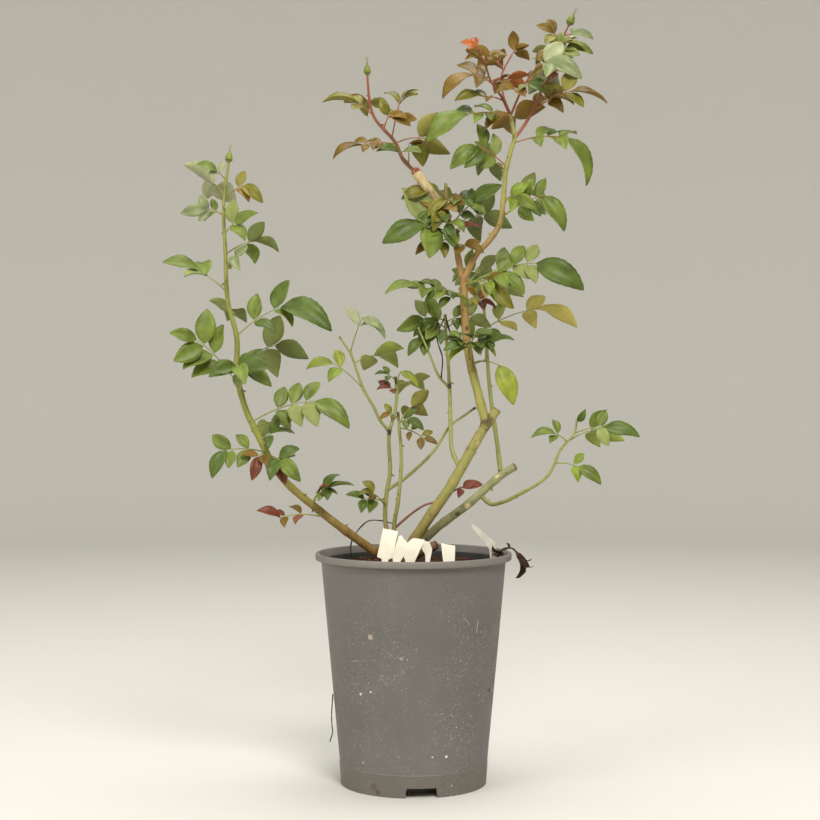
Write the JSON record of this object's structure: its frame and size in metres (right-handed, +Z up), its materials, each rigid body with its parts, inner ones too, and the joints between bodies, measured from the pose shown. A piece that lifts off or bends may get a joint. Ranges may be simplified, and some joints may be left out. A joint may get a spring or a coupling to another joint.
{
  "type": "potted rose bush",
  "caption": "Young rose bush in a grey-brown nursery pot: bare canes, leafy shoots with closed buds, and blank torn labels.",
  "frame": {"origin": "middle of the pot's flat underside, on the surface it stands on", "axes": "+Z up, the front of the plant faces -Y, +X to the right seen from the front"},
  "size_m": [0.4524, 0.2157, 0.7504],
  "materials": {
    "pot_plastic": "matte",
    "compost": "matte",
    "bark": "satin",
    "label": "satin",
    "foliage": "satin",
    "dried_leaf": "matte"
  },
  "bodies": {
    "root": {"pot": "pot_plastic", "soil": "compost", "root_crown": "bark", "main_cane_lower": "bark", "main_cane_upper": "bark", "cut_cane": "bark", "left_cane_lower": "bark", "left_cane_upper": "bark", "middle_stem_left": "bark", "middle_stem_right": "bark", "middle_branch": "bark", "slanting_branch": "bark", "red_branch": "bark", "inner_stem": "bark", "inner_side_branch": "bark", "back_stem": "bark", "right_shoot_stem": "bark", "left_crown_limb": "bark", "right_crown_limb": "bark", "crown_stub": "bark", "old_spur": "bark", "label_left": "label", "label_ragged": "label", "label_small": "label", "label_right": "label", "label_bent": "label", "dried_leaves": "dried_leaf", "left_foliage_low": "foliage", "left_foliage_middle": "foliage", "left_foliage_top": "foliage", "left_low_leaf": "foliage", "left_bent_leaf": "foliage", "middle_low_leaf": "foliage", "middle_left_foliage": "foliage", "middle_foliage": "foliage", "middle_right_foliage": "foliage", "red_branch_foliage": "foliage", "inner_foliage": "foliage", "cane_left_foliage": "foliage", "cane_front_foliage": "foliage", "yellow_leaf": "foliage", "hanging_leaf": "foliage", "cane_right_foliage": "foliage", "fork_foliage": "foliage", "left_crown_foliage": "foliage", "right_crown_foliage": "foliage", "crown_foliage": "foliage", "upper_left_foliage": "foliage", "crown_left_foliage": "foliage", "crown_back_foliage": "foliage", "crown_front_foliage": "foliage", "crown_right_foliage": "foliage", "right_shoot_foliage": "foliage", "back_foliage": "foliage"}
  },
  "joints": []
}
